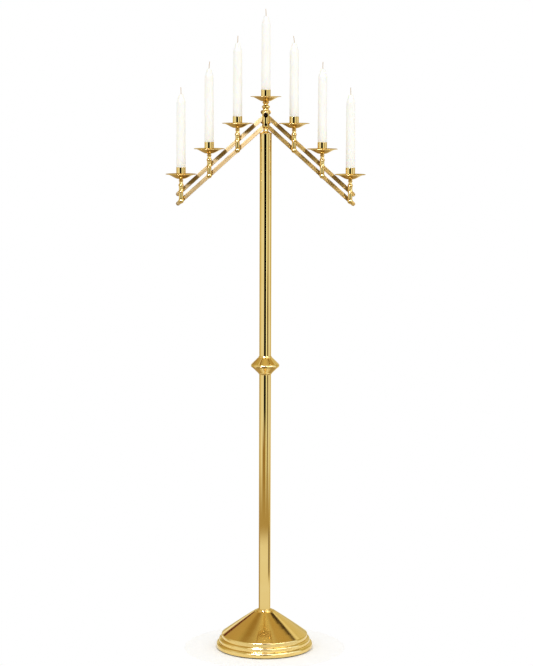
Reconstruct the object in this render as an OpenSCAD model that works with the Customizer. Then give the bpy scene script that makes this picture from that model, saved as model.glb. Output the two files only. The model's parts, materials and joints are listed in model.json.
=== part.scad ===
// Seven-light floor candelabrum. Two arms fold up and down on a turned hub. Each arm is a pair of
// flat bars pinned to three candle posts, so it is a parallelogram and the candles stay upright.
// Millimetres. +Z is up and +Y is the rear, where the bars run. The origin is on the floor, under
// the column. The arms are drawn lowered, in their rest position.

/* [Stand] */
// Diameter of the base at its lip
base_d = 263; // [257:1:269]
// Height of the knot's widest line above the floor
knot_z = 780; // [600:1:900]
// Diameter of the knot
knot_d = 76.8; // [72:0.2:82]
// Outer diameter of the column tubes
tube_d = 32; // [31.5:0.1:32.5]
// Wall of the column tubes
tube_wall = 1.5; // [1.2:0.1:2]
// Height of the centre socket's rim above the floor
top_z = 1521.5; // [1400:0.5:1650]

/* [Arms] */
// Angle of the arms below the horizontal, and their highest angle above it
arm_angle = 42; // [36:0.5:42]
// Distance between neighbouring pivots along a bar
pitch = 101.6; // [98:0.1:110]
// Height from a lower pivot to the upper one
pivot_drop = 25.4; // [24.5:0.1:26]
// Width of a bar
bar_w = 11.1; // [10:0.1:11.2]
// Thickness of a bar
bar_t = 3.2; // [2.5:0.1:3.5]
// Distance from a bar's end pivot to the centre of its round end
bar_over = 11.5; // [8:0.5:12]

/* [Candle holders] */
// Diameter of a drip pan
pan_d = 82.6; // [78:0.2:84]
// Thickness of a drip pan
pan_t = 1; // [0.8:0.1:1.2]
// Outer diameter of a candle socket
socket_d = 25.4; // [25:0.1:26.5]
// Bore of a candle socket
socket_bore = 22.4; // [21.5:0.1:23]
// Height of a socket's rim above its drip pan's rim
socket_rise = 17.5; // [16:0.5:26]
// Height of an arm's pan rims above the upper pivots
post_rim = 47; // [47:0.5:52]
// Height of the centre pan's rim above the upper pivot
hub_rim = 50; // [50:0.5:54]

/* [Candles] */
// Diameter of a candle at its foot
candle_d = 24.6; // [23.8:0.1:25]
// Height of a candle above its socket
candle_h = 194.5; // [150:0.5:250]
// Length of free wick
wick_h = 18.5; // [8:0.5:20]

/* [Fits] */
// Radial clearance of a pin that turns
run = 0.05; // [0.02:0.01:0.08]
// End play between stacked bars and washers
play = 0.1; // [0.05:0.05:0.15]

/* [Hidden] */
$fn = 96;
SIDES = ["left", "right"];
PLACES = ["inner", "middle", "outer"];

// Colours
brass = [0.86, 0.68, 0.30];
brass_dark = [0.60, 0.44, 0.16];
iron = [0.25, 0.25, 0.26];
steel = [0.65, 0.66, 0.68];
felt = [0.12, 0.18, 0.14];
wax = [0.98, 0.97, 0.92];
wick_tan = [0.80, 0.68, 0.50];

// Heights
pad_t = 2;
plate_t = 2;
lip_z = 2;                          // the lip clears the floor by this much
lip_r = base_d / 2;
cone_a = 54.7;                      // elevation of the square to the cone's side
cone_top = [29, 101.5];             // radius and height where the cone ends
shoulder_z = cone_top[1] + 2.5 * (1 - sin(cone_a));
pivot_z = top_z - hub_rim - socket_rise;
cap_z = pivot_z - 50;               // the hub's cap sits on the tube here
tube_seat_z = 46;                   // the lower tube's foot, in the ballast
knot_low_z = knot_z - 24.5;
knot_high_z = knot_z + 27;

// Radii
tube_r = tube_d / 2;
tube_in_r = tube_r - tube_wall;
spigot_r = tube_in_r - run;
rod_r = 4.75;
hub_pin_r = 2.5;
post_pin_r = 2;
socket_stud_r = 3;
screw_r = 2.5;
wick_r = 1.1;
fit = 0.02;                         // gap round a part that is screwed or pressed home

// Stack of bars and washers behind the hub and the posts, as distances towards the rear
flat_y = 5;                         // the flat milled on the hub and the posts
left_bar_y = flat_y + 0.8;
right_bar_y = left_bar_y + bar_t + 0.8;
stack_y = right_bar_y + bar_t + play;
nut_y = stack_y + 0.8;

// Distance from a pan's rim down to its seat on the post or hub
pan_depth = 13.2;
socket_floor = 4;
butt_l = 25;
butt_r = 11;
candle_top_r = 11.7;

function arc(c, r, a0, a1, n = 10) =
    [for (i = [0 : n]) let (a = a0 + (a1 - a0) * i / n) c + r * [cos(a), sin(a)]];
function up(points, z) = [for (p = points) p + [0, z]];
function side(s) = s == "left" ? -1 : 1;
function order(p) = search([p], PLACES)[0] + 1;
function bar_y(s) = s == "left" ? left_bar_y : right_bar_y;
function pivot_at(s, n) = [side(s) * n * pitch * cos(arm_angle), 0,
                           pivot_z - n * pitch * sin(arm_angle)];

module turned(points) rotate_extrude() polygon(points);
module pin_y(r, y0, y1) translate([0, y0, 0]) rotate([-90, 0, 0]) cylinder(r = r, h = y1 - y0);
module washer_y(r_out, r_in, y0, y1) difference() {
    pin_y(r_out, y0, y1);
    pin_y(r_in, y0 - 1, y1 + 1);
}

// ---- base ----------------------------------------------------------------------------------

// Outline of the shell, from the axis out along the bottom, up the three rounded steps and in
// along the cone. With a positive inset it is the outline of the hollow inside.
function base_outline(t) = concat(
    [[0, lip_z - t], [lip_r - 2.5, lip_z - t]],
    arc([lip_r - 2.5, lip_z + 2.5], 2.5 - t, -90, 0, 6),
    arc([lip_r - 7, 10], 7 - t, 0, 80),
    [[lip_r - 7.2 - t, 16.9 - t]],
    arc([lip_r - 12.2, 23.5], 5 - t, 0, 80),
    [[lip_r - 14 - t, 28.4 - t]],
    arc([lip_r - 18, 36.8], 4 - t, 0, cone_a),
    arc(cone_top - 2.5 * [cos(cone_a), sin(cone_a)], 2.5 - t, cone_a, 90, 6),
    [[0, shoulder_z - t]]);

module base_shell() color(brass) difference() {
    turned(base_outline(0));
    turned(base_outline(1.4));
    translate([0, 0, 90]) cylinder(r = tube_r + fit, h = 30);
}

module base_collar() color(brass) translate([0, 0, shoulder_z]) difference() {
    turned(concat([[0, 0], [22.6, 0]], arc([20.7, 1.7], 1.9, 0, 90), [[18.6, 3.6]],
                  arc([17.4, 4.2], 1.2, 0, 90, 6), [[0, 5.4]]));
    translate([0, 0, -10]) cylinder(r = tube_r + fit, h = 40);
}

module base_weight() color(iron) difference() {
    under = pad_t + plate_t;
    turned([[0, under], [lip_r - 25, under], [lip_r - 25, 18], [lip_r - 31, 24], [44, 24],
            [38, 52], [0, 52]]);
    translate([0, 0, tube_seat_z]) cylinder(r = tube_r + fit, h = 20);
    cylinder(r = rod_r + 0.5, h = 60);
    translate([0, 0, pad_t]) cylinder(r = 14, h = 16);
    weight_screw_places() cylinder(r = screw_r + fit, h = 16);
}

module weight_screw_places() for (a = [45 : 90 : 315])
    rotate(a) translate([80, 0, pad_t]) children();

module base_plate() color(steel) difference() {
    translate([0, 0, pad_t]) cylinder(r = lip_r - 3, h = plate_t);
    translate([0, 0, -1]) cylinder(r = 16, h = 10);
    weight_screw_places() translate([0, 0, -1]) cylinder(r = screw_r + fit, h = 10);
}

module base_screws() color(steel) weight_screw_places() {
    cylinder(r = screw_r, h = 14);
    translate([0, 0, -1.6]) cylinder(r = 4.6, h = 1.6);
}

module base_pad() color(felt) difference() {
    cylinder(r = lip_r - 4, h = pad_t);
    translate([0, 0, -1]) cylinder(r = lip_r - 34, h = pad_t + 2);
}

// ---- column --------------------------------------------------------------------------------

module tie_rod() color(steel) translate([0, 0, 6]) cylinder(r = rod_r, h = cap_z + 4 - 6);

module tie_rod_nut() color(steel) difference() {
    translate([0, 0, 8]) {
        cylinder(r = 9.2, h = 8, $fn = 6);
        translate([0, 0, 8]) cylinder(r = 12.5, h = 2);
    }
    cylinder(r = rod_r + fit, h = 30);
}

module tube(z0, z1) color(brass) difference() {
    translate([0, 0, z0]) cylinder(r = tube_r, h = z1 - z0);
    translate([0, 0, z0 - 1]) cylinder(r = tube_in_r, h = z1 - z0 + 2);
}
module lower_tube() tube(tube_seat_z, knot_low_z);
module upper_tube() tube(knot_high_z, cap_z);

// Two cones that meet in a rounded band, between small rounded collars
module knot() color(brass) {
    band = knot_d / 2;
    high = knot_high_z - knot_z;
    low = knot_low_z - knot_z;
    difference() {
        union() {
            turned(up(concat([[0, low], [tube_r, low]], arc([15.9, low + 3.4], 2.4, -60, 30, 6),
                             [[19.6, low + 4.8], [35.7, -4.2]], arc([band - 6, 0], 6, -48, 48),
                             [[36.6, 4.8], [20.2, 21]], arc([15.9, high - 4.1], 2.4, -30, 60, 6),
                             [[tube_r, high], [0, high]]), knot_z));
            translate([0, 0, knot_low_z - 25]) cylinder(r = spigot_r, h = high - low + 50);
        }
        translate([0, 0, knot_low_z - 40]) cylinder(r = 9, h = 150);
    }
}

// ---- hub -----------------------------------------------------------------------------------

// Heights are from the upper pivot
module hub() color(brass) translate([0, 0, pivot_z]) difference() {
    union() {
        turned(concat(
            [[0, -50], [tube_r + 0.6, -50]], arc([tube_r - 0.7, -48.6], 1.4, -40, 80, 6),
            [[15.2, -46.8]], arc([15.2, -37.2], 9.4, 265, 188),
            arc([7.2, -35.2], 1, 180, 100, 4),
            [[8.6, -32.6], [9.4, -30.6], [9.7, -28.4], [9.7, 8.2]],
            arc([5.7, 8.2], 4, 0, 50, 6),
            [[8.3, 13], [8.3, 14.6], [7.2, 15.8], [8.1, 17.2]],
            arc([7.1, 21.8], 3.7, -60, 60, 8),
            [[7, 25.8], [6.2, 28.4], [6.3, 29.6], [7.6, 31.4]],
            arc([7.6, 33], 1.6, -60, 60, 6),
            [[7.7, hub_rim - pan_depth], [0, hub_rim - pan_depth]]));
        translate([0, 0, -80]) cylinder(r = spigot_r, h = 31);
        translate([0, 0, 30]) cylinder(r = socket_stud_r, h = hub_rim - 30 - pan_depth + pan_t + 3.6);
    }
    // flat behind the barrel, spot faces in front, pivot bores, thread for the tie rod
    translate([-30, flat_y, -37.6]) cube([60, 30, 37.6 + 14]);
    pin_y(6.6, -30, -8.2);
    pin_y(hub_pin_r + run, -30, 30);
    translate([0, 0, -pivot_drop]) {
        pin_y(4, -30, -9);
        pin_y(hub_pin_r + fit, -30, 30);
    }
    translate([0, 0, -90]) cylinder(r = rod_r + fit, h = 90 - 50 + 6);
}

// Knurled head with a dimple, held by a nut behind the arms
module clamp_screw() color(brass_dark) translate([0, 0, pivot_z]) {
    difference() {
        union() {
            pin_y(6.2, -13.4, -8.4);
            for (a = [0 : 20 : 340]) rotate([0, a, 0]) translate([0, 0, 6]) pin_y(0.5, -13, -8.8);
        }
        translate([0, -16.2, 0]) sphere(r = 4);
    }
    pin_y(hub_pin_r, -8.4, nut_y + 3.4);
}

module lower_pivot_bolt() color(brass_dark) translate([0, 0, pivot_z - pivot_drop]) {
    difference() {
        pin_y(3.7, -11.2, -9);
        translate([-5, -12, -0.5]) cube([10, 1.8, 1]);
    }
    pin_y(hub_pin_r, -9, nut_y + 3.4);
}

module pivot_nuts() color(brass) for (drop = [0, pivot_drop])
    translate([0, 0, pivot_z - drop]) difference() {
        union() {
            translate([0, nut_y, 0]) rotate([-90, 0, 0]) cylinder(r = 4.9, h = 3.6, $fn = 6);
            intersection() {
                translate([0, nut_y + 3, 0]) sphere(r = 4);
                pin_y(5, nut_y + 3, nut_y + 10);
            }
        }
        pin_y(hub_pin_r + (drop == 0 ? run : fit), nut_y - 1, nut_y + 3.6);
    }

module hub_washers() color(brass) for (drop = [0, pivot_drop])
    translate([0, 0, pivot_z - drop]) {
        washer_y(4.6, hub_pin_r + run, flat_y, left_bar_y - play);
        washer_y(4.6, hub_pin_r + run, left_bar_y + bar_t + play, right_bar_y - play);
        washer_y(5.2, hub_pin_r + run, stack_y, nut_y);
    }

// ---- arms ----------------------------------------------------------------------------------

// A flat bar with round ends. Its first hole turns on the hub and the others on the posts.
module bar(s, drop) color(brass) translate([0, bar_y(s) + bar_t, pivot_z - drop])
    rotate([0, side(s) * arm_angle, 0]) rotate([90, 0, 0]) linear_extrude(bar_t) difference() {
        bar_l = 3 * pitch;
        union() {
            translate([side(s) > 0 ? -bar_over : -bar_l - bar_over, -bar_w / 2])
                square([bar_l + 2 * bar_over, bar_w]);
            for (x = [-bar_over, bar_l + bar_over]) translate([side(s) * x, 0]) circle(d = bar_w);
        }
        circle(r = hub_pin_r + run);
        for (n = [1 : 3]) translate([side(s) * n * pitch, 0]) circle(r = post_pin_r + run);
    }

// ---- candle holders ------------------------------------------------------------------------

// Heights are from the upper pin. The outline starts at the pointed tip.
module post(s, p) color(brass) translate(pivot_at(s, order(p))) difference() {
    union() {
        turned(concat(
            [[0, -33.4], [1.2, -32.4]],
            arc([0, -pivot_drop], 7.3, -68, 46, 12),
            [[5.6, -20], [6, -18], [6, -4.4], [5.4, -3.4]],
            arc([5.2, 0], 2, -75, 75, 7),
            [[6.4, 3.4], [5.7, 6], [5.6, 8.6], [6, 11.4]],
            arc([4.1, 16.6], 3.2, -50, 50, 8),
            [[5.4, 20.4], [4.5, 24.6], [4.7, 26], [5.6, 27]],
            arc([5.2, 28.2], 1, -60, 60, 4),
            [[5.2, 30], [5.8, post_rim - pan_depth - 1], [6.2, post_rim - pan_depth],
             [0, post_rim - pan_depth]]));
        translate([0, 0, 28]) cylinder(r = socket_stud_r, h = post_rim - 28 - pan_depth + pan_t + 3.6);
    }
    translate([-10, flat_y, -35]) cube([20, 10, 46.5]);
    for (drop = [0, pivot_drop]) translate([0, 0, -drop]) pin_y(post_pin_r + fit, -2, flat_y + 1);
}

// Two shoulder screws with cheese heads behind the bars, and a washer or spacer on each
module pivots(s, p) color(brass_dark) translate(pivot_at(s, order(p)))
    for (drop = [0, pivot_drop]) translate([0, 0, -drop]) {
        head_y = bar_y(s) + bar_t + play;
        difference() {
            pin_y(3.8, head_y, head_y + 2.4);
            translate([-5, head_y + 1.2, -0.5]) cube([10, 5, 1]);
        }
        pin_y(post_pin_r, -1, head_y);
        washer_y(4.4, post_pin_r + fit, flat_y, bar_y(s) - play);
    }

// A shallow dish with a flat rim. The outline is the underside, and the same lifted by its wall.
module pan(at, rim) color(brass) translate(at + [0, 0, rim]) difference() {
    under = [[pan_d / 2, -1.2], [34.4, -1.9], [31.7, -3], [26.1, -5.5], [21.9, -8], [16.6, -10.8],
             [12.4, -12.9], [11.2, -pan_depth]];
    over = [for (i = [len(under) - 1 : -1 : 0]) under[i] + [0, pan_t + 0.1]];
    turned(concat([[0, -pan_depth]], [for (i = [len(under) - 1 : -1 : 0]) under[i]],
                  [for (i = [len(over) - 1 : -1 : 0]) over[i]], [[0, pan_t + 0.1 - pan_depth]]));
    translate([0, 0, -30]) cylinder(r = socket_stud_r + fit, h = 60);
}

module socket(at, rim) color(brass) translate(at + [0, 0, rim]) {
    floor_z = pan_t + 0.1 - pan_depth;
    difference() {
        turned(concat([[0, floor_z], [10.6, floor_z], [socket_d / 2, floor_z + 1.6]],
                      [[socket_d / 2, socket_rise - 0.4], [socket_d / 2 - 0.4, socket_rise],
                       [0, socket_rise]]));
        translate([0, 0, floor_z + socket_floor]) cylinder(d = socket_bore, h = 60);
        translate([0, 0, floor_z - 1]) cylinder(r = socket_stud_r + fit, h = 10);
    }
}

// ---- candles -------------------------------------------------------------------------------

// The foot stands on the socket's rim, with a narrower butt down in the bore
module candle(at, rim) color(wax) translate(at + [0, 0, rim + socket_rise]) {
    foot_r = candle_d / 2;
    neck_z = candle_h - 21.5;
    slope = 18;
    difference() {
        turned(concat([[0, -butt_l], [butt_r - 0.8, -butt_l], [butt_r, -butt_l + 0.8],
                       [butt_r, 0], [foot_r, 0]],
                      arc([candle_top_r - 4, neck_z], 4, 0, slope, 6),
                      arc([2.4, candle_h - 4.2], 4.2, slope, 90, 8), [[0, candle_h]]));
        translate([0, 0, -butt_l - 1]) cylinder(r = wick_r, h = candle_h + butt_l + 2);
    }
}
module wick(at, rim) color(wick_tan) translate(at + [0, 0, rim + socket_rise - butt_l])
    turned([[0, 0], [wick_r, 0], [wick_r, butt_l + candle_h + wick_h - 0.6],
            [wick_r - 0.5, butt_l + candle_h + wick_h], [0, butt_l + candle_h + wick_h]]);

centre = [0, 0, pivot_z];
module centre_pan() pan(centre, hub_rim);
module centre_socket() socket(centre, hub_rim);
module centre_candle() candle(centre, hub_rim);
module centre_wick() wick(centre, hub_rim);

base_shell();
base_collar();
base_weight();
base_plate();
base_screws();
base_pad();
tie_rod();
tie_rod_nut();
lower_tube();
knot();
upper_tube();
hub();
clamp_screw();
lower_pivot_bolt();
pivot_nuts();
hub_washers();
centre_pan();
centre_socket();
centre_candle();
centre_wick();
for (s = SIDES) {
    bar(s, 0);
    bar(s, pivot_drop);
    for (p = PLACES) {
        at = pivot_at(s, order(p));
        post(s, p);
        pan(at, post_rim);
        socket(at, post_rim);
        pivots(s, p);
        candle(at, post_rim);
        wick(at, post_rim);
    }
}
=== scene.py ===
"""Looks for the seven-light floor candelabrum: polished brass, white candles, pale studio."""
import json
import math
import random

import bmesh
import bpy
from mathutils import Matrix, Vector


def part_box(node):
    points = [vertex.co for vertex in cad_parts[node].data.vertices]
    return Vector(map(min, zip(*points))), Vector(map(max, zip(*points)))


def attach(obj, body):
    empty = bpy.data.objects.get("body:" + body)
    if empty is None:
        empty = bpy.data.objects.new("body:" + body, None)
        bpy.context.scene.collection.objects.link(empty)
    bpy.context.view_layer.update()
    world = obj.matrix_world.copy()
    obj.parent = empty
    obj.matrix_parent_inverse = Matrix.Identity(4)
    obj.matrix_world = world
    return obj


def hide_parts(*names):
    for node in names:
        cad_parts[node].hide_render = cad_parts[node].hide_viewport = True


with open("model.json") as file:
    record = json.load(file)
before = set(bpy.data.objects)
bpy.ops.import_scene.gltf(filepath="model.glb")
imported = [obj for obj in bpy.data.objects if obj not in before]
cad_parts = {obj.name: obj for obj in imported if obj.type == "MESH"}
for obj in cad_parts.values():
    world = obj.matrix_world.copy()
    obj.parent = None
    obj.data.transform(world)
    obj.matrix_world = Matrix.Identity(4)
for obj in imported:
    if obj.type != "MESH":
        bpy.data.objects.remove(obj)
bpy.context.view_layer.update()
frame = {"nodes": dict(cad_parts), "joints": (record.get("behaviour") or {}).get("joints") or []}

MM = 0.001
REAR_FLAT = 5.0          # the flat milled on hub and posts lies this far behind their axis, in mm
SIDES = (("left", -1), ("right", 1))
PLACES = ("inner", "middle", "outer")
JOINTS = {j["name"]: j for j in frame["joints"]}


# ---- places, all from the frame ------------------------------------------------------------

def joint_at(name):
    """Where a joint is at rest, in metres."""
    return Vector(JOINTS[name]["pos_m"])


HUB_PIN = joint_at("left_arm_swing")
LOW_PIN = joint_at("left_lower_bar_swing")
DROP = (HUB_PIN.z - LOW_PIN.z) / MM          # upper to lower pivot, in mm
# The arms rest as far below the horizontal as they can be raised above it
ARM_ANGLE = math.radians(JOINTS["left_arm_swing"]["range_deg"][1] / 2)


def height(node):
    """The lowest and highest point of a CAD node, in mm."""
    low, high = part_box(node)
    return low.z / MM, high.z / MM


def outer_radius(node):
    """Half the width of a round CAD node, in mm."""
    low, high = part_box(node)
    return (high.x - low.x) / 2 / MM


# ---- outlines ------------------------------------------------------------------------------

def arc(centre, radius, start, end, steps=10):
    """Points on an arc, angles in degrees, as (radius, height)."""
    angles = [math.radians(start + (end - start) * i / steps) for i in range(steps + 1)]
    return [(centre[0] + radius * math.cos(a), centre[1] + radius * math.sin(a)) for a in angles]


def rounded(points, radius=0.35, steps=5):
    """The outline with every corner eased. A third number in a point is its own corner radius."""
    out = [tuple(points[0][:2])]
    for before, corner, after in zip(points, points[1:], points[2:]):
        p = Vector(corner[:2])
        a, b = Vector(before[:2]) - p, Vector(after[:2]) - p
        la, lb = a.length, b.length
        r = corner[2] if len(corner) > 2 else radius
        if min(la, lb) < 1e-6 or r <= 0:
            out.append(tuple(p))
            continue
        a.normalize()
        b.normalize()
        half = math.acos(max(-1, min(1, a.dot(b)))) / 2
        if half > math.radians(88):
            out.append(tuple(p))
            continue
        back = min(r / math.tan(half), 0.45 * la, 0.45 * lb)
        r = back * math.tan(half)
        centre = p + (a + b).normalized() * (r / math.sin(half))
        start, end = p + a * back - centre, p + b * back - centre
        sweep = start.angle_signed(end)
        turn = math.atan2(start.y, start.x)
        for i in range(steps + 1):
            t = turn - sweep * i / steps
            out.append((centre.x + r * math.cos(t), centre.y + r * math.sin(t)))
    out.append(tuple(points[-1][:2]))
    return out


def supported(points, inset=0.18):
    """Adds a point near each end of every long straight stretch, so smooth shading stays true."""
    out = [points[0]]
    for p, q in zip(points, points[1:]):
        length = math.hypot(q[0] - p[0], q[1] - p[1])
        if length > 4 * inset:
            for share in (inset / length, 1 - inset / length):
                out.append((p[0] + (q[0] - p[0]) * share, p[1] + (q[1] - p[1]) * share))
        out.append(q)
    return out


# ---- meshes --------------------------------------------------------------------------------

def mesh_of(name, points, faces):
    """A mesh with its doubled points merged and its faces turned outwards."""
    mesh = bpy.data.meshes.new(name)
    mesh.from_pydata(points, [], faces)
    mesh.update()
    bm = bmesh.new()
    bm.from_mesh(mesh)
    bmesh.ops.remove_doubles(bm, verts=bm.verts, dist=1e-7)
    bmesh.ops.recalc_face_normals(bm, faces=bm.faces)
    bm.to_mesh(mesh)
    bm.free()
    return mesh


def smooth(mesh, angle=32):
    """Smooth shading, except over edges sharper than angle."""
    mesh.polygons.foreach_set("use_smooth", [True] * len(mesh.polygons))
    mesh.set_sharp_from_angle(angle=math.radians(angle))
    return mesh


def lathe(name, outline, at=(0, 0, 0), segments=160, loop=False, wobble=None):
    """Turns an outline of (radius, height) in mm round a vertical axis through at, in metres.
    The outline starts and ends on the axis, or is a closed loop round a hollow."""
    rings, points, faces = [], [], []
    for r, z in outline:
        if r < 1e-6:
            rings.append([len(points)] * segments)
            points.append((at[0], at[1], at[2] + z * MM))
            continue
        rings.append(list(range(len(points), len(points) + segments)))
        for i in range(segments):
            a = 2 * math.pi * i / segments
            rr = r if wobble is None else wobble(r, z, a)
            points.append((at[0] + rr * MM * math.sin(a), at[1] - rr * MM * math.cos(a),
                           at[2] + z * MM))
    pairs = list(zip(rings, rings[1:]))
    if loop:
        pairs.append((rings[-1], rings[0]))
    for low, high in pairs:
        for i in range(segments):
            k = (i + 1) % segments
            face = [low[i], low[k], high[k], high[i]]
            kept = [v for n, v in enumerate(face) if v != face[n - 1]]
            if len(kept) > 2:
                faces.append(kept)
    return mesh_of(name, points, faces)


def along_y(mesh, at):
    """Lays a lathed mesh down so that its axis points to the front (-Y), with its origin at `at`."""
    mesh.transform(Matrix.Translation(Vector(at)) @ Matrix.Rotation(math.radians(90), 4, "X"))
    return mesh


def box_mesh(name, low, high):
    """A block between two corners, in metres."""
    (x0, y0, z0), (x1, y1, z1) = low, high
    points = [(x, y, z) for z in (z0, z1) for y in (y0, y1) for x in (x0, x1)]
    faces = [(0, 2, 3, 1), (4, 5, 7, 6), (0, 1, 5, 4), (2, 6, 7, 3), (0, 4, 6, 2), (1, 3, 7, 5)]
    return mesh_of(name, points, faces)


def cut(mesh, cutters):
    """The mesh with the cutter meshes taken away."""
    body = bpy.data.objects.new("cut_body", mesh)
    bpy.context.scene.collection.objects.link(body)
    tools = []
    for cutter in cutters:
        tool = bpy.data.objects.new("cut_tool", cutter)
        bpy.context.scene.collection.objects.link(tool)
        step = body.modifiers.new("cut", "BOOLEAN")
        step.operation, step.solver, step.object = "DIFFERENCE", "EXACT", tool
        tools.append(tool)
    result = bpy.data.meshes.new_from_object(body.evaluated_get(bpy.context.evaluated_depsgraph_get()))
    result.name = mesh.name
    for o in tools + [body]:
        old = o.data
        bpy.data.objects.remove(o)
        bpy.data.meshes.remove(old)
    return result


def joined(name, meshes):
    """One mesh of several, which are used up."""
    bm = bmesh.new()
    for m in meshes:
        bm.from_mesh(m)
    out = bpy.data.meshes.new(name)
    bm.to_mesh(out)
    bm.free()
    for m in meshes:
        bpy.data.meshes.remove(m)
    return out


def piece(name, mesh, material, body, nodes, angle=32):
    """A finished piece that stands for CAD nodes and moves with their body."""
    smooth(mesh, angle)
    mesh.materials.clear()
    mesh.materials.append(material)
    obj = bpy.data.objects.new(name, mesh)
    bpy.context.scene.collection.objects.link(obj)
    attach(obj, body)
    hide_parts(*nodes)
    return obj


# ---- materials -----------------------------------------------------------------------------

def new_material(name):
    """A material with its nodes, its links and its shader."""
    material = bpy.data.materials.new(name)
    material.use_nodes = True
    nodes, links = material.node_tree.nodes, material.node_tree.links
    return material, nodes, links, nodes["Principled BSDF"]


def noise(nodes, links, scale, detail=3.0, stretch=(1, 1, 1), turn=(0, 0, 0)):
    """Noise in the object's own space. stretch multiplies the scale along each axis."""
    where = nodes.new("ShaderNodeTexCoord")
    mapping = nodes.new("ShaderNodeMapping")
    mapping.vector_type = "TEXTURE"
    mapping.inputs["Rotation"].default_value = turn
    mapping.inputs["Scale"].default_value = [1 / s for s in stretch]
    texture = nodes.new("ShaderNodeTexNoise")
    texture.inputs["Scale"].default_value = scale
    texture.inputs["Detail"].default_value = detail
    links.new(where.outputs["Object"], mapping.inputs["Vector"])
    links.new(mapping.outputs["Vector"], texture.inputs["Vector"])
    return texture.outputs["Fac"]


def ramp(nodes, links, value, stops):
    """A colour for each value, between stops of (value, colour)."""
    node = nodes.new("ShaderNodeValToRGB")
    elements = node.color_ramp.elements
    while len(elements) < len(stops):
        elements.new(0.5)
    for element, (place, colour) in zip(elements, stops):
        element.position = place
        element.color = (*colour, 1)
    links.new(value, node.inputs["Fac"])
    return node.outputs["Color"]


def spread(nodes, links, value, low, high):
    """Noise brought to a range from low to high."""
    node = nodes.new("ShaderNodeMapRange")
    node.inputs["From Min"].default_value = 0.3
    node.inputs["From Max"].default_value = 0.7
    node.inputs["To Min"].default_value = low
    node.inputs["To Max"].default_value = high
    links.new(value, node.inputs["Value"])
    return node.outputs["Result"]


def bump(nodes, links, value, strength, distance, normal=None):
    """A normal that follows value as a height of up to distance, in metres."""
    node = nodes.new("ShaderNodeBump")
    node.inputs["Strength"].default_value = strength
    node.inputs["Distance"].default_value = distance
    links.new(value, node.inputs["Height"])
    if normal is not None:
        links.new(normal, node.inputs["Normal"])
    return node.outputs["Normal"]


BRASS = (0.845, 0.640, 0.245)
BRASS_DEEP = (0.800, 0.575, 0.190)
SATIN = (0.72, 0.51, 0.17)
SATIN_DEEP = (0.58, 0.36, 0.10)


def brass(name, light=BRASS, deep=BRASS_DEEP, rough=(0.03, 0.06), lines=None, line_bump=0.01):
    """Polished, lacquered brass. lines is the stretch of the fine polishing marks."""
    material, nodes, links, shader = new_material(name)
    shader.inputs["Metallic"].default_value = 1.0
    cloud = noise(nodes, links, 14, 4)
    links.new(ramp(nodes, links, cloud, [(0.25, deep), (0.75, light)]), shader.inputs["Base Color"])
    haze = noise(nodes, links, 55, 5)
    links.new(spread(nodes, links, haze, *rough), shader.inputs["Roughness"])
    marks = noise(nodes, links, 1, 2, stretch=lines or (700, 700, 2600))
    links.new(bump(nodes, links, marks, line_bump, 0.0002), shader.inputs["Normal"])
    return material


def make_materials():
    """Every material by its short name."""
    made = {
        "base": brass("brass_spun", rough=(0.10, 0.13), lines=(60, 60, 3000), line_bump=0.0006),
        "tube": brass("brass_tube", rough=(0.012, 0.03), lines=(900, 900, 40), line_bump=0.002),
        "turned": brass("brass_turned", rough=(0.015, 0.04), lines=(500, 500, 4200), line_bump=0.004),
        "pan": brass("brass_pan", light=BRASS_DEEP, deep=(0.66, 0.43, 0.12),
                     rough=(0.03, 0.07), lines=(420, 420, 3200), line_bump=0.006),
        "socket": brass("brass_socket", rough=(0.015, 0.035), lines=(500, 500, 3600), line_bump=0.004),
        # painted shade: the screws', nuts' and washers' near-black colour stands in for the dark camera
        # side their faces mirror, not for a colour of the brass
        "screw": brass("brass_screw_painted_dark", light=(0.045, 0.023, 0.010), deep=(0.018, 0.010, 0.005),
                       rough=(0.10, 0.16), lines=(2500, 2500, 2500)),
    }
    for side, sign in SIDES:
        made[f"{side}_bar"] = bar_brass(f"brass_bar_{side}", sign)
    made["wax"] = wax()
    made["wick"] = cotton()
    made["felt"] = felt()
    made["iron"] = painted_iron()
    made["steel"] = zinc()
    return made


def bar_brass(name, sign):
    """Satin brass. Its grain runs along the bar and spreads what it mirrors across the bar."""
    material, nodes, links, shader = new_material(name)
    shader.inputs["Metallic"].default_value = 1.0
    turn = (0, sign * ARM_ANGLE, 0)
    cloud = noise(nodes, links, 1, 4, turn=turn, stretch=(9, 60, 420))
    links.new(ramp(nodes, links, cloud, [(0.3, SATIN_DEEP), (0.7, SATIN)]), shader.inputs["Base Color"])
    haze = noise(nodes, links, 70, 4, turn=turn, stretch=(0.4, 1, 3))
    links.new(spread(nodes, links, haze, 0.42, 0.47), shader.inputs["Roughness"])
    shader.inputs["Anisotropic"].default_value = 1.0
    shader.inputs["Anisotropic Rotation"].default_value = 0.25
    tangent = nodes.new("ShaderNodeTangent")
    tangent.direction_type = "UV_MAP"
    tangent.uv_map = "grain"
    links.new(tangent.outputs["Tangent"], shader.inputs["Tangent"])
    grain = noise(nodes, links, 1, 3, turn=turn, stretch=(60, 900, 1600))
    links.new(bump(nodes, links, grain, 0.03, 0.0002), shader.inputs["Normal"])
    return material


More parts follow.
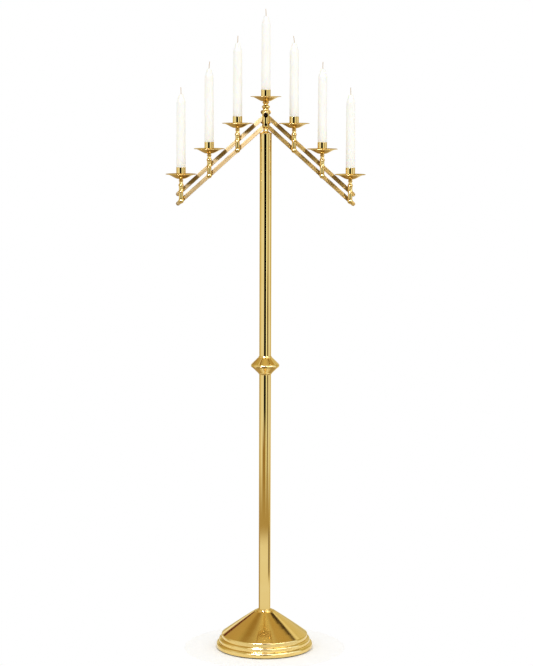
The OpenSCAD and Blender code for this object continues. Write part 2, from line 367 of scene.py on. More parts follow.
def wax():
    """White candle wax, a little clear at its edges, with faint drawn marks."""
    material, nodes, links, shader = new_material("candle_wax")
    cloud = noise(nodes, links, 30, 3)
    links.new(ramp(nodes, links, cloud, [(0.3, (0.93, 0.915, 0.85)), (0.7, (0.95, 0.94, 0.89))]),
              shader.inputs["Base Color"])
    shader.inputs["Subsurface Weight"].default_value = 0.35
    shader.inputs["Subsurface Radius"].default_value = (1.0, 0.8, 0.55)
    shader.inputs["Subsurface Scale"].default_value = 0.006
    shader.inputs["IOR"].default_value = 1.44
    haze = noise(nodes, links, 120, 3)
    links.new(spread(nodes, links, haze, 0.34, 0.5), shader.inputs["Roughness"])
    drawn = noise(nodes, links, 1, 3, stretch=(260, 260, 22))
    fine = noise(nodes, links, 900, 2)
    first = bump(nodes, links, drawn, 0.12, 0.0004)
    links.new(bump(nodes, links, fine, 0.08, 0.0001, first), shader.inputs["Normal"])
    return material


def cotton():
    """Braided cotton of the wicks."""
    material, nodes, links, shader = new_material("wick_cotton")
    fibre = noise(nodes, links, 2600, 4)
    links.new(ramp(nodes, links, fibre, [(0.3, (0.50, 0.36, 0.22)), (0.7, (0.80, 0.66, 0.46))]),
              shader.inputs["Base Color"])
    shader.inputs["Roughness"].default_value = 0.9
    links.new(bump(nodes, links, fibre, 0.5, 0.0001), shader.inputs["Normal"])
    return material


def felt():
    """Green felt of the pad."""
    material, nodes, links, shader = new_material("green_felt")
    fibre = noise(nodes, links, 1500, 6)
    links.new(ramp(nodes, links, fibre, [(0.3, (0.010, 0.030, 0.018)), (0.7, (0.035, 0.085, 0.052))]),
              shader.inputs["Base Color"])
    shader.inputs["Roughness"].default_value = 0.95
    shader.inputs["Sheen Weight"].default_value = 0.4
    links.new(bump(nodes, links, fibre, 0.8, 0.0004), shader.inputs["Normal"])
    return material


def painted_iron():
    """Black paint over the grain of a sand casting."""
    material, nodes, links, shader = new_material("cast_iron_black")
    cast = noise(nodes, links, 420, 5)
    links.new(ramp(nodes, links, cast, [(0.3, (0.018, 0.018, 0.019)), (0.7, (0.05, 0.05, 0.052))]),
              shader.inputs["Base Color"])
    links.new(spread(nodes, links, cast, 0.45, 0.7), shader.inputs["Roughness"])
    links.new(bump(nodes, links, cast, 0.6, 0.0006), shader.inputs["Normal"])
    return material


def zinc():
    """Zinc-plated steel."""
    material, nodes, links, shader = new_material("zinc_steel")
    shader.inputs["Metallic"].default_value = 1.0
    spangle = noise(nodes, links, 160, 5)
    links.new(ramp(nodes, links, spangle, [(0.3, (0.46, 0.47, 0.49)), (0.7, (0.66, 0.67, 0.69))]),
              shader.inputs["Base Color"])
    links.new(spread(nodes, links, spangle, 0.22, 0.38), shader.inputs["Roughness"])
    links.new(bump(nodes, links, spangle, 0.15, 0.0002), shader.inputs["Normal"])
    return material


# ---- base and column -----------------------------------------------------------------------

def make_base(mat):
    """The spun shell with its three rounded steps and cone, the foot collar and the felt ring."""
    lip_r = outer_radius("base_shell")
    lip_z, top_z = height("base_shell")
    hole_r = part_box("lower_tube")[1].x / MM + 0.03
    cone = 54.7                                  # elevation of the cone's normal, in degrees
    steps = 12
    # the lip, then each rounded step with the small hollow above it, then the cone and its shoulder
    outer = [(lip_r - 2.5, lip_z + 1.4), (lip_r - 2.5, lip_z)]
    outer += arc((lip_r - 2.5, lip_z + 2.5), 2.5, -80, 0, steps)
    outer += arc((lip_r - 7, 10), 7, 0, 78, steps)
    outer += arc((lip_r - 6.6, 17.6), 0.6, 235, 180, 4)
    outer += arc((lip_r - 12.2, 23.5), 5, 0, 78, steps)
    outer += arc((lip_r - 13.4, 29.1), 0.6, 235, 180, 4)
    outer += arc((lip_r - 18, 36.8), 4, 0, cone, steps)
    shoulder_r, shoulder_z = 29.0, 101.5
    foot_r, foot_z = outer[-1]
    belly = 0.9                                  # how far the cone swells at mid height
    for share in (0.2, 0.4, 0.6, 0.8):
        outer.append((foot_r + (shoulder_r - foot_r) * share,
                      foot_z + (shoulder_z - foot_z) * share + belly * 4 * share * (1 - share), 60))
    dx, dz = math.cos(math.radians(cone)), math.sin(math.radians(cone))
    outer += arc((shoulder_r - 2.5 * dx, shoulder_z - 2.5 * dz), 2.5, cone, 90, 8)
    outer += [(hole_r, top_z)]
    wall = 1.4
    inner = [(hole_r, top_z - wall), (shoulder_r - 2, shoulder_z - 1.9),
             (lip_r - 16.8, 38.2), (lip_r - 15.4, 36), (lip_r - 15.4, 27), (lip_r - 8.7, 23.5),
             (lip_r - 8.6, 15.6), (lip_r - wall, 9), (lip_r - wall, lip_z + 2.5)]
    outline = supported(rounded(outer)) + inner
    piece("spun_base", lathe("spun_base", outline, segments=256, loop=True), mat["base"],
          "stand", ["base_shell"])

    low, high = height("base_collar")
    ring = [(hole_r, low), (22.6, low)] + arc((20.7, low + 1.7), 1.9, 0, 90, 8)
    ring += [(18.7, low + 3.6)] + arc((17.4, low + 4.2), 1.2, -10, 90, 6) + [(hole_r, high)]
    piece("foot_collar", lathe("foot_collar", supported(rounded(ring), 0.1), segments=192, loop=True),
          mat["base"], "stand", ["base_collar"])

    pad_low, pad_high = height("base_pad")
    pad_out = outer_radius("base_pad")
    pad_width, cuts = 30, 256
    rng = random.Random(4)
    fuzz = [rng.uniform(-0.25, 0.25) for _ in range(cuts)]

    def uneven(r, z, a):
        return r + fuzz[int(a / (2 * math.pi) * cuts) % cuts] * (1 if r > pad_out - 2 else -1)

    pad_in, edge = pad_out - pad_width, pad_out - 0.3
    pad = rounded([(pad_in, pad_low), (edge, pad_low, 0.7), (edge, pad_high, 0.3),
                   (pad_in, pad_high, 0.3), (pad_in, pad_low + 0.1)])
    piece("felt_ring", lathe("felt_ring", pad, segments=cuts, loop=True, wobble=uneven), mat["felt"],
          "stand", ["base_pad"])


def make_column(mat):
    """The two tubes, and the knot that joins them."""
    tube_r = outer_radius("lower_tube")
    wall = 1.5
    for name in ("lower_tube", "upper_tube"):
        low, high = height(name)
        outline = rounded([(tube_r - wall, low), (tube_r, low, 0.25), (tube_r, high, 0.25),
                           (tube_r - wall, high), (tube_r - wall, low + 0.01)], 0.2, 3)
        piece(name + "_polished", lathe(name, supported(outline), segments=224, loop=True),
              mat["tube"], "stand", [name])

    low, high = height("lower_tube")[1], height("upper_tube")[0]
    mid = high - 27
    low, high = low - mid, high - mid
    end_low, end_high = (h - mid for h in height("knot"))
    band = outer_radius("knot")
    outline = [(9, end_low), (14.4, end_low, 0.3), (14.4, low), (tube_r + 0.02, low)]
    outline += [(tube_r, low + 0.8, 0.3)]
    outline += arc((15.9, low + 3.4), 2.4, -70, 28, 10) + [(19.6, low + 4.7, 0.4), (35.7, -4.1, 0.25)]
    outline += arc((band - 6, 0), 6, -46, 46, 20)
    outline += [(36.5, 4.75, 0.25), (20.2, 21, 0.6)] + arc((15.9, high - 4.1), 2.4, -28, 78, 10)
    outline += [(tube_r, high - 0.8, 0.3), (tube_r + 0.02, high), (14.4, high), (14.4, end_high, 0.3),
                (9, end_high)]
    outline = supported(rounded(outline, 0.25, 4))
    piece("column_knot", lathe("column_knot", outline, at=(0, 0, mid * MM), segments=224, loop=True),
          mat["turned"], "stand", ["knot"])


# ---- hub and its bolts ---------------------------------------------------------------------

def hub_outline(pan_seat, tube_r):
    """The turned head, heights from the upper pivot."""
    points = [(0, -50), (tube_r + 0.6, -50, 0.3)]
    points += arc((tube_r - 0.7, -48.6), 1.4, -30, 84, 10)
    points += [(15.3, -47.0, 0.3)]
    points += arc((15.2, -37.3), 9.4, 264, 188, 22)
    points += arc((7.15, -35.2), 0.9, 190, 100, 6)
    points += [(8.7, -32.8, 0.8), (9.45, -30.4, 1.5), (9.7, -28.2, 2), (9.7, 8.2)]
    points += arc((5.7, 8.2), 4, 4, 52, 8)
    points += [(8.3, 12.8, 0.4), (8.3, 14.6, 0.3), (7.2, 15.8, 0.5), (8.1, 17.2, 0.3)]
    points += arc((7.1, 21.8), 3.7, -58, 58, 14)
    points += [(7.2, 25.6, 0.5), (6.2, 28.4, 2), (6.3, 29.8, 0.6), (7.6, 31.3, 0.3)]
    points += arc((7.6, 33), 1.6, -58, 58, 8)
    points += [(7.7, pan_seat - 0.6, 0.2), (7.7, pan_seat, 0.2), (3.0, pan_seat, 0.1)]
    points += [(3.0, pan_seat + 4.6, 0.3), (0, pan_seat + 4.6)]
    return supported(rounded(points, 0.3, 5), 0.12)


def make_hub(mat):
    """The turned head with its rear flat and bores, its bolts and its nuts."""
    z = HUB_PIN.z
    seat = (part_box("centre_pan")[0].z - z) / MM
    mesh = lathe("hub_head", hub_outline(seat, outer_radius("lower_tube")), at=HUB_PIN, segments=160)

    def bore(radius, front, rear, drop):
        tool = lathe("bore", [(0, -rear), (radius, -rear), (radius, -front), (0, -front)], segments=96)
        return along_y(tool, (0, 0, z - drop * MM))

    flat = box_mesh("flat", (-0.03, REAR_FLAT * MM, z - 0.0376), (0.03, 0.03, z + 0.014))
    # sunk seats for the two heads, then holes for the two shanks
    cutters = [flat, bore(6.6, -30, -8.2, 0), bore(4.0, -30, -9.0, DROP),
               bore(2.55, -8.5, 30, 0), bore(2.52, -9.5, 30, DROP)]
    piece("hub_turned", cut(mesh, cutters), mat["turned"], "stand", ["hub"])

    low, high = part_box("lower_pivot_bolt")
    front = low.y / MM
    head = [(0, -front), (3.2, -front - 0.1, 0.4), (3.7, -front - 0.6, 0.3),
            (3.7, -front - 2.2, 0.1), (2.5, -front - 2.2, 0.1), (2.5, -high.y / MM), (0, -high.y / MM)]
    bolt = along_y(lathe("low_bolt", supported(rounded(head, 0.2, 4), 0.1), segments=96), LOW_PIN)
    slot = box_mesh("slot", (-0.006, front * MM - 0.002, LOW_PIN.z - 0.00045),
                    (0.006, (front + 1.0) * MM, LOW_PIN.z + 0.00045))
    piece("lower_bolt", cut(bolt, [slot]), mat["screw"], "stand", ["lower_pivot_bolt"])
    make_clamp_screw(mat)
    make_nuts(mat)


def make_clamp_screw(mat):
    """A straight-knurled head with a dished face and a dimple."""
    low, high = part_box("clamp_screw")
    front = -low.y / MM
    teeth, segments, head_r = 30, 240, 6.2

    def knurl(r, z, a):
        return r - 0.28 * abs(math.sin(a * teeth / 2)) if r > head_r - 0.1 else r

    face = [(0, front - 1.5)] + arc((0, front + 1.2), 2.7, -82, -30, 8)
    face += [(2.9, front - 0.1, 0.3), (4.9, front, 0.4), (5.9, front - 0.45, 0.3),
             (head_r + 0.25, front - 0.9, 0.15), (head_r + 0.25, front - 4.2, 0.15),
             (5.8, front - 4.6, 0.3), (5.6, front - 5, 0.2), (2.5, front - 5, 0.1),
             (2.5, -high.y / MM), (0, -high.y / MM)]
    mesh = lathe("clamp", rounded(face, 0.2, 4), segments=segments, wobble=knurl)
    piece("clamp_knob", along_y(mesh, HUB_PIN), mat["screw"], "clamp_screw", ["clamp_screw"])


def make_nuts(mat):
    """Hexagon cap nuts behind the arms, and the washers between hub, bars and nuts."""
    near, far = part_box("pivot_nuts")[0].y / MM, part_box("pivot_nuts")[1].y / MM
    nuts = []
    for drop in (0, DROP):
        at = HUB_PIN - Vector((0, 0, drop * MM))
        rings = [(4.3, near), (4.75, near + 0.35), (4.75, near + 3.1), (4.2, near + 3.6)]
        points, faces = [], []
        for r, y in rings:
            for i in range(6):
                a = math.radians(60 * i + 30)
                points.append((at.x + r * MM * math.cos(a), y * MM, at.z + r * MM * math.sin(a)))
        for n in range(3):
            for i in range(6):
                k = (i + 1) % 6
                faces.append((n * 6 + i, n * 6 + k, n * 6 + 6 + k, n * 6 + 6 + i))
        faces += [tuple(range(5, -1, -1)), tuple(range(18, 24))]
        nuts.append(mesh_of("hex", points, faces))
        dome = [(0, -far)] + arc((0, -far + 3.9), 3.9, -86, -8, 12)
        dome += [(3.9, -near - 3.4), (0, -near - 3.4)]
        nuts.append(along_y(lathe("dome", dome, segments=64), at))
    piece("cap_nuts", joined("cap_nuts", nuts), mat["screw"], "stand", ["pivot_nuts"], 25)

    left_bar, right_bar = ([v.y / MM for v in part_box(f"{side}_upper_bar")] for side, _ in SIDES)
    play = 0.1
    gaps = [(REAR_FLAT, left_bar[0] - play, 4.6), (left_bar[1] + play, right_bar[0] - play, 4.6),
            (right_bar[1] + play, near, 5.2)]
    rings = []
    for drop in (0, DROP):
        for y0, y1, r in gaps:
            ring = rounded([(2.55, -y0), (r, -y0, 0.15), (r, -y1, 0.15), (2.55, -y1),
                            (2.55, -y0 - 0.01)], 0.1, 3)
            rings.append(along_y(lathe("washer", ring, segments=80, loop=True),
                                 HUB_PIN - Vector((0, 0, drop * MM))))
    piece("washers", joined("washers", rings), mat["screw"], "stand", ["hub_washers"])


# ---- arms ----------------------------------------------------------------------------------

def make_bar(mat, side, sign, level, pin):
    """Flat bar with full-round ends, eased edges and a slightly crowned face."""
    node = f"{side}_{level}_bar"
    low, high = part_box(node)
    y0, y1 = low.y, high.y
    holder = JOINTS[f"{side}_outer_holder_turn"]["pos_m"]
    length = math.hypot(holder[0], holder[2] - HUB_PIN.z)
    half_w = 5.55 * MM             # half the bar's width
    over = 11.5 * MM               # from an end pin to the centre of the round end
    ease = 0.55 * MM               # rounding of the long edges
    crown = 0.16 * MM              # how far the faces swell
    steps, cuts = 16, 24           # points round an end and along a side

    def ring(inset):
        """The bar's outline, drawn in by inset."""
        r = half_w - inset
        points = []
        for i in range(steps + 1):
            a = math.radians(-90 + 180 * i / steps)
            points.append((length + over + r * math.cos(a), r * math.sin(a)))
        for i in range(1, cuts):
            points.append((length + over - (length + 2 * over) * i / cuts, r))
        for i in range(steps + 1):
            a = math.radians(90 + 180 * i / steps)
            points.append((-over + r * math.cos(a), r * math.sin(a)))
        for i in range(1, cuts):
            points.append((-over + (length + 2 * over) * i / cuts, -r))
        return points

    layers = [(half_w * share, y0 + crown * (1 - share) ** 2) for share in (0.97, 0.8, 0.6, 0.4, 0.22)]
    for i in range(5):
        a = math.radians(90 * i / 4)
        layers.append((ease * (1 - math.sin(a)), y0 + crown + ease * (1 - math.cos(a))))
    layers += [(inset, y1 - (y - y0)) for inset, y in layers[::-1]]
    points, faces = [], []
    for inset, y in layers:
        points += [(x, y, z) for x, z in ring(inset)]
    count = len(points) // len(layers)
    for n in range(len(layers) - 1):
        for i in range(count):
            k = (i + 1) % count
            faces.append((n * count + i, n * count + k, (n + 1) * count + k, (n + 1) * count + i))
    last = (len(layers) - 1) * count
    faces += [tuple(range(count - 1, -1, -1)), tuple(range(last, last + count))]
    mesh = mesh_of(node, points, faces)
    turn = ARM_ANGLE if sign > 0 else math.pi - ARM_ANGLE
    mesh.transform(Matrix.Translation(Vector((0, 0, pin.z))) @ Matrix.Rotation(turn, 4, "Y"))
    holes = []
    hub_hole, post_hole = 2.55, 2.05
    pitch = length / len(PLACES)
    for n in range(len(PLACES) + 1):
        radius = post_hole if n else hub_hole
        tool = along_y(lathe("hole", [(0, -30), (radius, -30), (radius, 0), (0, 0)], segments=64),
                       (sign * n * pitch * math.cos(ARM_ANGLE), 0, pin.z - n * pitch * math.sin(ARM_ANGLE)))
        holes.append(tool)
    mesh = cut(mesh, holes)
    grain = mesh.uv_layers.new(name="grain")     # runs along the bar, for the satin's direction
    along = Vector((sign * math.cos(ARM_ANGLE), 0, -math.sin(ARM_ANGLE)))
    across = Vector((-along.z, 0, along.x))
    for loop in mesh.loops:
        offset = mesh.vertices[loop.vertex_index].co - Vector((0, 0, pin.z))
        grain.data[loop.index].uv = (offset.dot(along), offset.dot(across))
    piece(node + "_satin", mesh, mat[f"{side}_bar"], f"{side}_{level}_arm", [node])


# ---- candle holders ------------------------------------------------------------------------

def post_outline(seat):
    """The turned post from its pointed tip up, heights from the upper pin."""
    points = [(0, -33.4), (0.9, -32.9, 0.5)]
    points += arc((0, -DROP), 7.3, -72, 44, 24)
    points += [(5.6, -19.9, 0.8), (6.0, -17.8, 2), (6.0, -4.6, 0.5), (5.3, -3.5, 0.3), (5.3, -2.9, 0.3)]
    points += arc((5.2, 0), 2.1, -74, 74, 14)
    points += [(6.3, 3.3, 0.5), (5.7, 6, 4), (5.6, 8.6, 3), (6.0, 11.8, 1)]
    points += arc((4.1, 16.6), 3.2, -52, 52, 16)
    points += [(5.3, 20.6, 0.6), (4.5, 24.4, 2), (4.7, 26, 0.5), (5.5, 26.9, 0.3)]
    points += arc((5.2, 28.2), 1.05, -58, 58, 8)
    points += [(5.2, 29.9, 0.4), (5.7, seat - 1.2, 1), (6.2, seat - 0.3, 0.3), (6.2, seat, 0.2)]
    points += [(3.0, seat, 0.1), (3.0, seat + 4.6, 0.3), (0, seat + 4.6)]
    return supported(rounded(points, 0.3, 5), 0.1)


def make_post(mat, name, at):
    """A turned post with its rear flat and the bores for its two pivots."""
    seat = (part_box(f"{name}_pan")[0].z - at.z) / MM
    mesh = lathe(name, post_outline(seat), at=at, segments=128)
    flat = box_mesh("flat", (at.x - 0.01, REAR_FLAT * MM, at.z - 0.035),
                    (at.x + 0.01, 0.015, at.z + 0.0115))
    tools = [flat]
    for drop in (0, DROP):
        tool = lathe("bore", [(0, -12), (2.02, -12), (2.02, 2), (0, 2)], segments=64)
        tools.append(along_y(tool, at - Vector((0, 0, drop * MM))))
    piece(name + "_post_turned", cut(mesh, tools), mat["turned"], name + "_holder",
          [name + "_post"])


def make_pivots(mat, name, side, at):
    """Two slotted cheese-head screws with a washer or spacer."""
    bar_low, bar_high = (v.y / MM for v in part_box(f"{side}_upper_bar"))
    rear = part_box(f"{name}_pivots")[1].y / MM
    parts = []
    for drop in (0, DROP):
        pin = at - Vector((0, 0, drop * MM))
        head_y = bar_high + 0.1
        screw = rounded([(0, -rear), (3.4, -rear, 0.5), (3.8, -rear + 0.5, 0.4), (3.8, -head_y, 0.1),
                         (2.0, -head_y, 0.1), (2.0, 0.9, 0.1), (0, 0.9)], 0.2, 4)
        body = along_y(lathe("screw", supported(screw, 0.1), segments=72), pin)
        slot = box_mesh("slot", (-0.006, (rear - 1.2) * MM, -0.0005), (0.006, (rear + 1) * MM, 0.0005))
        slot.transform(Matrix.Translation(Vector((pin.x, 0, pin.z)))
                       @ Matrix.Rotation(math.radians(25 + 40 * (drop > 0)), 4, "Y"))
        parts.append(cut(body, [slot]))
        sleeve = rounded([(2.03, -REAR_FLAT), (4.4, -REAR_FLAT, 0.2), (4.4, -bar_low + 0.1, 0.2),
                          (2.03, -bar_low + 0.1), (2.03, -REAR_FLAT - 0.01)], 0.1, 3)
        parts.append(along_y(lathe("sleeve", supported(sleeve, 0.1), segments=72, loop=True), pin))
    piece(name + "_screws", joined(name + "_screws", parts), mat["screw"], name + "_holder",
          [name + "_pivots"])


def make_pan(mat, name, body, at_x):
    """Spun drip pan: a shallow cone with a flat, rolled rim."""
    seat, rim = height(f"{name}_pan")
    r = outer_radius(f"{name}_pan")
    under = [(3.03, seat), (11.2, seat, 2), (16.6, rim - 10.9, 6), (26.1, rim - 5.7, 14),
             (31.4, rim - 3.1, 8), (34.4, rim - 2.05, 6), (r - 0.9, rim - 1.35, 0.2)]
    roll = arc((r - 0.75, rim - 0.75), 0.75, -100, 170, 12)
    over = [(p[0] - 0.35, p[1] + 1.05) + tuple(p[2:]) for p in under[1:-1]][::-1]
    inner = [(r - 1.7, rim - 0.75, 0.3)] + over + [(3.03, seat + 1.05), (3.03, seat + 0.01)]
    outline = supported(rounded(under, 0.3, 6)[:-1] + roll + rounded(inner, 0.3, 6), 0.15)
    mesh = lathe(name + "_pan", outline, at=(at_x, 0, 0), segments=176, loop=True)
    piece(name + "_drip_pan", mesh, mat["pan"], body, [name + "_pan"])


def make_socket(mat, name, body, at_x):
    """A turned cup for the candle's butt."""
    z0, z1 = height(f"{name}_socket")
    r, bore = outer_radius(f"{name}_socket"), 11.2
    outline = [(3.03, z0), (10.6, z0, 0.2), (r - 0.4, z0 + 1.4, 0.6), (r, z0 + 2.6, 0.6),
               (r, z1 - 0.1, 0.35), (r - 0.5, z1, 0.3), (bore + 0.25, z1, 0.2), (bore, z1 - 0.4, 0.3),
               (bore, z0 + 4, 0.5), (3.03, z0 + 4), (3.03, z0 + 0.01)]
    outline = supported(rounded(outline, 0.3, 5), 0.15)
    mesh = lathe(name + "_socket", outline, at=(at_x, 0, 0), segments=160, loop=True)
    piece(name + "_candle_socket", mesh, mat["socket"], body, [name + "_socket"])


# ---- candles -------------------------------------------------------------------------------

# How each candle leans in its socket, in degrees to the right, and how its wick bends, in mm
LEANS = {"centre": (0.0, -0.8), "left_inner": (0.10, 0.5), "left_middle": (-0.12, 2.2),
         "left_outer": (0.12, -0.6), "right_inner": (-0.10, -2.2), "right_middle": (0.08, 0.4),
         "right_outer": (-0.06, -0.5)}


def make_candle(mat, name, at_x):
    """A candle with a reduced butt in its socket, and the wick through it."""
    node = name + "_candle"
    foot, tip = height(node)
    rim = height(name + "_socket")[1]
    foot_r = outer_radius(node)
    top_r, neck = 11.75, tip - 21.5
    outline = [(1.1, foot), (10.2, foot, 0.8), (11.0, foot + 1.2, 0.5), (11.0, rim, 0.05),
               (foot_r - 0.15, rim + 0.02, 0.1), (foot_r, rim + 0.5, 0.4)]
    outline += [(foot_r + (top_r - foot_r) * t, rim + (neck - rim) * t) for t in (0.25, 0.5, 0.75)]
    outline += arc((top_r - 7, neck), 7, 0, 17, 8)
    outline += [(7.9, tip - 9.5, 30)] + arc((2.5, tip - 4.2), 4.2, 16, 78, 12)
    outline += [(1.9, tip, 0.5), (1.1, tip - 0.5), (1.1, foot + 0.5)]
    mesh = lathe(node, supported(rounded(outline, 0.3, 6), 0.3), at=(at_x, 0, 0), segments=112, loop=True)
    lean, bend = LEANS[name]
    turn = Matrix.Translation(Vector((at_x, 0, rim * MM))) @ Matrix.Rotation(math.radians(lean), 4, "Y")
    turn = turn @ Matrix.Translation(Vector((-at_x, 0, -rim * MM)))
    mesh.transform(turn)
    piece(name + "_wax", mesh, mat["wax"], node, [node])
    wick = wick_mesh(name + "_wick", at_x, foot, tip, height(name + "_wick")[1], bend)
    wick.transform(turn)
    piece(name + "_braid", wick, mat["wick"], node, [name + "_wick"], 60)


def wick_mesh(name, at_x, foot, tip, top, bend):
    """Three twisted strands, straight inside the wax and bending above it."""
    strands, per_turn, sides = 3, 5.2, 10
    parts = []
    for s in range(strands):
        points, faces = [], []
        heights = [foot + (tip - 4 - foot) * i / 40 for i in range(40)]
        heights += [tip - 4 + (top - tip + 4) * i / 60 for i in range(61)]
        for n, z in enumerate(heights):
            free = max(0, (z - tip) / (top - tip))                  # 0 at the wax, 1 at the end
            turn = 2 * math.pi * (z / per_turn + s / strands)
            apart = 0.46 * (1 + 0.5 * max(0, free - 0.9) * 10)
            cx = at_x / MM + bend * free ** 1.8 + apart * math.cos(turn)
            cy = apart * math.sin(turn) - 0.3 * abs(bend) * free ** 2
            r = 0.56 * (1 - 0.35 * max(0, free - 0.92) / 0.08)
            zz = z - 0.10 * bend * bend / (top - tip) * free ** 2
            for i in range(sides):
                a = 2 * math.pi * i / sides
                points.append(((cx + r * math.cos(a)) * MM, (cy + r * math.sin(a)) * MM, zz * MM))
        for n in range(len(heights) - 1):
            for i in range(sides):
                k = (i + 1) % sides
                faces.append((n * sides + i, n * sides + k, (n + 1) * sides + k, (n + 1) * sides + i))
        last = (len(heights) - 1) * sides
        faces += [tuple(range(sides - 1, -1, -1)), tuple(range(last, last + sides))]
        parts.append(mesh_of(name, points, faces))
    return joined(name, parts)


# ---- studio --------------------------------------------------------------------------------

WHITE = (1.0, 1.0, 1.0)
FLOOR_R = 0.22                     # metres
FLOOR_Z = -0.00005                 # just under the felt, in metres
LAMPS_AT = Vector((0, 0, 1.3))     # the middle of the arms, in metres
LAMPS_AWAY = 5.0                   # from there to each lamp, in metres
LAMP_POWER = 4.0                   # watts for each square metre of lamp and unit of radiance


def make_camera():
    """Level with the centre candle, with a long lens, looking a little down."""
    cam = bpy.data.objects.new("camera", bpy.data.cameras.new("camera"))
    bpy.context.scene.collection.objects.link(cam)
    cam.data.lens = 118.54
    cam.data.sensor_width = 36.0
    distance, eye, aside = 5.877, 1.590, 0.0034
    down, roll = math.radians(7.0), math.radians(0.16)
    cam.location = (aside, -distance, eye)
    cam.rotation_euler = (Matrix.Rotation(math.pi / 2 - down, 3, "X")
                          @ Matrix.Rotation(roll, 3, "Z")).to_euler()
    cam.data.clip_end = 100
    bpy.context.scene.camera = cam


def make_floor():
    """A round of pale floor under the base. Beyond it the studio's own white takes over."""
    points, faces, segments = [(0, 0, FLOOR_Z)], [], 128
    for i in range(segments):
        a = 2 * math.pi * i / segments
        points.append((FLOOR_R * math.cos(a), FLOOR_R * math.sin(a), FLOOR_Z))
        faces.append((0, 1 + i, 1 + (i + 1) % segments))
    floor = bpy.data.objects.new("pale_floor", mesh_of("pale_floor", points, faces))
    bpy.context.scene.collection.objects.link(floor)
    material, nodes, links, shader = new_material("pale_floor")
    speck = noise(nodes, links, 90, 3)
    links.new(ramp(nodes, links, speck, [(0.3, (0.965, 0.965, 0.96)), (0.7, (0.985, 0.985, 0.98))]),
              shader.inputs["Base Color"])
    shader.inputs["Roughness"].default_value = 0.6
    shader.inputs["Specular IOR Level"].default_value = 0.1
    floor.data.materials.append(material)


class Sky:
    """Builds the studio round the object as soft-edged cards in a room, the last card on top.
    Azimuth 0 is the camera's side and grows to the right; elevation is above the horizon."""

    def __init__(self):
        world = bpy.data.worlds.new("studio")
        bpy.context.scene.world = world
        world.use_nodes = True
        self.nodes, self.links = world.node_tree.nodes, world.node_tree.links
        self.background = self.nodes["Background"]
        where = self.nodes.new("ShaderNodeTexCoord")
        split = self.nodes.new("ShaderNodeSeparateXYZ")
        self.links.new(where.outputs["Generated"], split.inputs["Vector"])
        x, y, z = (split.outputs[k] for k in "XYZ")
        turn = self.calc("ARCTAN2", x, self.calc("MULTIPLY", y, -1))
        self.azimuth = self.calc("DEGREES", turn)
        self.elevation = self.calc("DEGREES", self.calc("ARCSINE", z))
        self.colour = WHITE

    def feed(self, socket, value):
        """Gives a socket a number, a colour or another node's output."""
        if isinstance(value, (int, float)):
            socket.default_value = value
        elif isinstance(value, tuple):
            socket.default_value = (*value, 1)
        else:
            self.links.new(value, socket)

    def calc(self, operation, *values):
        node = self.nodes.new("ShaderNodeMath")
        node.operation = operation
        for socket, value in zip(node.inputs, values):
            self.feed(socket, value)
        return node.outputs[0]

    def mix(self, share, low, high):
        """A colour that goes from low to high as share goes from 0 to 1."""
        node = self.nodes.new("ShaderNodeMix")
        node.data_type = "RGBA"
        for name, value in (("Factor", share), ("A", low), ("B", high)):
            self.feed(node.inputs[name], value)
        return node.outputs["Result"]

    def step(self, value, edge, soft):
        """0 below the edge and 1 above it."""
        node = self.nodes.new("ShaderNodeMapRange")
        node.interpolation_type = "SMOOTHSTEP"
        self.links.new(value, node.inputs["Value"])
        node.inputs["From Min"].default_value = edge - soft
        node.inputs["From Max"].default_value = edge + soft
        return node.outputs["Result"]

    def within(self, value, low, high, soft):
        return self.calc("SUBTRACT", self.step(value, low, soft), self.step(value, high, soft))

    def room(self, colour):
        """Starts again with an empty room."""
        self.colour = colour

    def card(self, colour, az=None, el=None, soft=2.0, el_soft=4.0):
        """Adds a card between two azimuths, two elevations or both. soft blurs its edges."""
        spans = ((self.azimuth, az, soft), (self.elevation, el, el_soft))
        masks = [self.within(value, *span, edge) for value, span, edge in spans if span is not None]
        mask = masks[0] if len(masks) == 1 else self.calc("MULTIPLY", *masks)
        self.colour = self.mix(mask, self.colour, colour)

    def finish(self, lit):
        """White behind the object for the camera, the cards in what shines, lit elsewhere."""
        path = self.nodes.new("ShaderNodeLightPath")
        seen = self.mix(path.outputs["Is Glossy Ray"], lit, self.colour)
        seen = self.mix(path.outputs["Is Camera Ray"], seen, WHITE)
        self.links.new(seen, self.background.inputs["Color"])


def make_lamp(name, colour, az, el):
    """A rectangular lamp that only what shines can see. az and el are its edges, in degrees as
    in Sky, seen from LAMPS_AT."""
    across, up = math.radians(sum(az) / 2), math.radians(sum(el) / 2)
    away = Vector((math.sin(across) * math.cos(up), -math.cos(across) * math.cos(up), math.sin(up)))
    light = bpy.data.lights.new(name, "AREA")
    light.shape = "RECTANGLE"
    light.size = 2 * LAMPS_AWAY * math.tan(math.radians(az[1] - az[0]) * math.cos(up) / 2)
    light.size_y = 2 * LAMPS_AWAY * math.tan(math.radians(el[1] - el[0]) / 2)
    top = max(colour)
    light.color = [c / top for c in colour]
    light.energy = top * light.size * light.size_y * LAMP_POWER
    lamp = bpy.data.objects.new(name, light)
    lamp.location = LAMPS_AT + away * LAMPS_AWAY
    lamp.rotation_euler = away.to_track_quat("Z", "Y").to_euler()
    lamp.visible_camera = lamp.visible_diffuse = lamp.visible_transmission = False
    bpy.context.scene.collection.objects.link(lamp)


